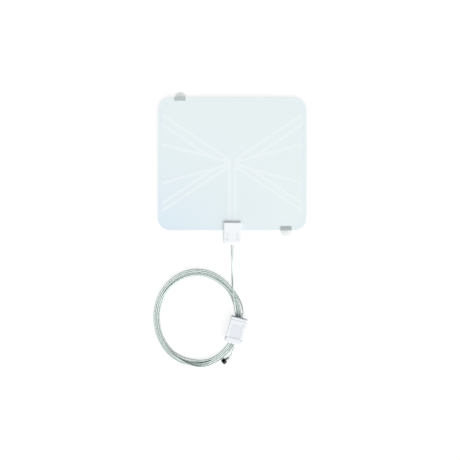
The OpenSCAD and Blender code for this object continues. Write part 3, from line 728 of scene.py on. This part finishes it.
class ANTENNA_OT_pigtail(bpy.types.Operator):
    """The short stretch of cord from the amplifier to the plug"""

    bl_idname = "antenna.pigtail"
    bl_label = "Pigtail"

    def execute(self, context):
        settings = context.scene.antenna_cord
        mouth, way = relief_mouth("amp_relief_out")
        body = np.array([v.co for v in NODES["connector_body"].data.vertices])
        axis = np.array(SPIN["axis"])
        origin = np.array(SPIN["pos_m"])
        end = origin + ((body - origin) @ axis).min() * axis
        points = np.vstack([
            mouth - TUCK * way,
            mouth,
            np.array(TAIL_ROUTE) * MM,
            end,
            end + PLUG_TUCK * axis,
        ])
        # It bends more tightly than the lead, so its rings stand closer
        step = 0.0015
        path = through(points, step)
        mesh = tube("pigtail", path, settings.diameter / 2)
        tail = object_of("pigtail", mesh, bpy.data.materials["clear_jacket_over_braid"], BODY)
        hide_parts("cord_tail")
        return {"FINISHED"}


class ANTENNA_OT_sheet(bpy.types.Operator):
    """The two films and the foil elements between them"""

    bl_idname = "antenna.sheet"
    bl_label = "Sheet"

    def execute(self, context):
        settings = context.scene.antenna_sheet
        dress("front_film", film_finish("front_film", settings, True))
        dress("back_film", film_finish("back_film", settings, False))
        foil = metal("foil", linear(238, 241, 243), 0.42, (1, 12, 1))
        for node in ("element_left", "element_right"):
            dress(node, foil)
        return {"FINISHED"}


class ANTENNA_OT_housing(bpy.types.Operator):
    """The junction housing with what it holds, the lead's strain relief and the cord's stripped ends"""

    bl_idname = "antenna.housing"
    bl_label = "Housing"

    def execute(self, context):
        settings = context.scene.antenna_shells
        shell = moulded("housing_shell", tuple(settings.housing), 0.26)
        dress("housing_front", shell, 0.00025)
        dress("housing_back", shell, 0.0002)
        dress("lead_relief", moulded("soft_relief", tuple(settings.relief), 0.42, 0.00005, 500.0))
        dress("matching_board", moulded("green_board", linear(52, 110, 74), 0.35))
        dress("balun_core", moulded("ferrite", linear(62, 62, 66), 0.6, 0.00008, 1400.0))
        dress("balun_winding", metal("copper_wire", linear(196, 118, 66), 0.3))
        bronze = metal("spring_bronze", linear(214, 184, 120), 0.28)
        for node in ("contact_left", "contact_right"):
            dress(node, bronze)
        dress("housing_screws", metal("screw_steel", linear(196, 198, 200), 0.3))
        core = moulded("cord_core", linear(220, 226, 224), 0.3)
        for node in ("lead_end", "amp_end_in", "amp_end_out"):
            dress(node, core)
        return {"FINISHED"}


class ANTENNA_OT_clips(bpy.types.Operator):
    """Smoke-tinted clips and their clear suction cups"""

    bl_idname = "antenna.clips"
    bl_label = "Clips and cups"

    def execute(self, context):
        smoke = smoke_finish(context.scene.antenna_shells)
        vinyl = vinyl_finish()
        for side in ("upper_left", "lower_right"):
            dress("clip_" + side, smoke, 0.0002)
            cup = dress("cup_" + side, vinyl)
            cup.data.polygons.foreach_set("use_smooth", [True] * len(cup.data.polygons))
        return {"FINISHED"}


class ANTENNA_OT_amplifier(bpy.types.Operator):
    """The inline amplifier's case, reliefs, power socket, light and board"""

    bl_idname = "antenna.amplifier"
    bl_label = "Amplifier"

    def execute(self, context):
        settings = context.scene.antenna_shells
        panel_depth = 0.0003
        panel_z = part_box("amp_top_shell")[1].z - panel_depth
        colour = tuple(settings.amplifier)
        case = moulded("amplifier_case", colour, 0.26, panel=tuple(settings.panel), panel_z=panel_z)
        dress("amp_top_shell", case, 0.0002)
        dress("amp_bottom_shell", moulded("amplifier_base", colour, 0.3), 0.0002)
        relief = bpy.data.materials["soft_relief"]
        for node in ("amp_relief_in", "amp_relief_out"):
            dress(node, relief)
        dress("amp_board", bpy.data.materials["green_board"])
        dress("amp_screws", bpy.data.materials["screw_steel"])
        tin = metal("tinned_sheet", linear(190, 193, 196), 0.34)
        for node in ("shield_can", "usb_socket"):
            dress(node, tin)
        dress("power_light", light_lens_finish())
        return {"FINISHED"}


class ANTENNA_OT_plug(bpy.types.Operator):
    """The screw-on plug: ferrule, free-turning nut with its thread, insulator and pin"""

    bl_idname = "antenna.plug"
    bl_label = "Plug"

    def execute(self, context):
        dress("connector_body", metal("bright_nickel", linear(196, 200, 191), 0.5), 0.0001)
        nut = metal("dark_nickel", linear(58, 60, 65), 0.3)
        dress("connector_nut", nut, 0.00012)
        dress("connector_insulator", moulded("insulator", linear(243, 243, 238), 0.45))
        dress("connector_pin", metal("pin_copper", linear(206, 150, 96), 0.25))
        thread = thread_mesh(np.array(SPIN["pos_m"]), np.array(SPIN["axis"]))
        object_of("nut_thread", thread, nut, NUT)
        return {"FINISHED"}


OPERATORS = [
    ANTENNA_OT_stage, ANTENNA_OT_lead, ANTENNA_OT_pigtail, ANTENNA_OT_sheet, ANTENNA_OT_housing,
    ANTENNA_OT_clips, ANTENNA_OT_amplifier, ANTENNA_OT_plug,
]


class ANTENNA_PT_panel(bpy.types.Panel):
    """Lists the pieces and their settings"""

    bl_idname = "ANTENNA_PT_panel"
    bl_label = "Antenna"
    bl_space_type = "VIEW_3D"
    bl_region_type = "UI"
    bl_category = "Antenna"

    def draw(self, context):
        for kind in OPERATORS:
            self.layout.operator(kind.bl_idname)
        for name, group in GROUPS.items():
            box = self.layout.box()
            for key in group.__annotations__:
                box.prop(getattr(context.scene, name), key)


def register():
    for kind in [*GROUPS.values(), *OPERATORS, ANTENNA_PT_panel]:
        bpy.utils.register_class(kind)
    for name, group in GROUPS.items():
        setattr(bpy.types.Scene, name, PointerProperty(type=group))


def unregister():
    for name in GROUPS:
        delattr(bpy.types.Scene, name)
    for kind in reversed([*GROUPS.values(), *OPERATORS, ANTENNA_PT_panel]):
        bpy.utils.unregister_class(kind)


def main():
    register()
    for kind in OPERATORS:
        group, action = kind.bl_idname.split(".")
        getattr(getattr(bpy.ops, group), action)()


if __name__ == "__main__":
    main()
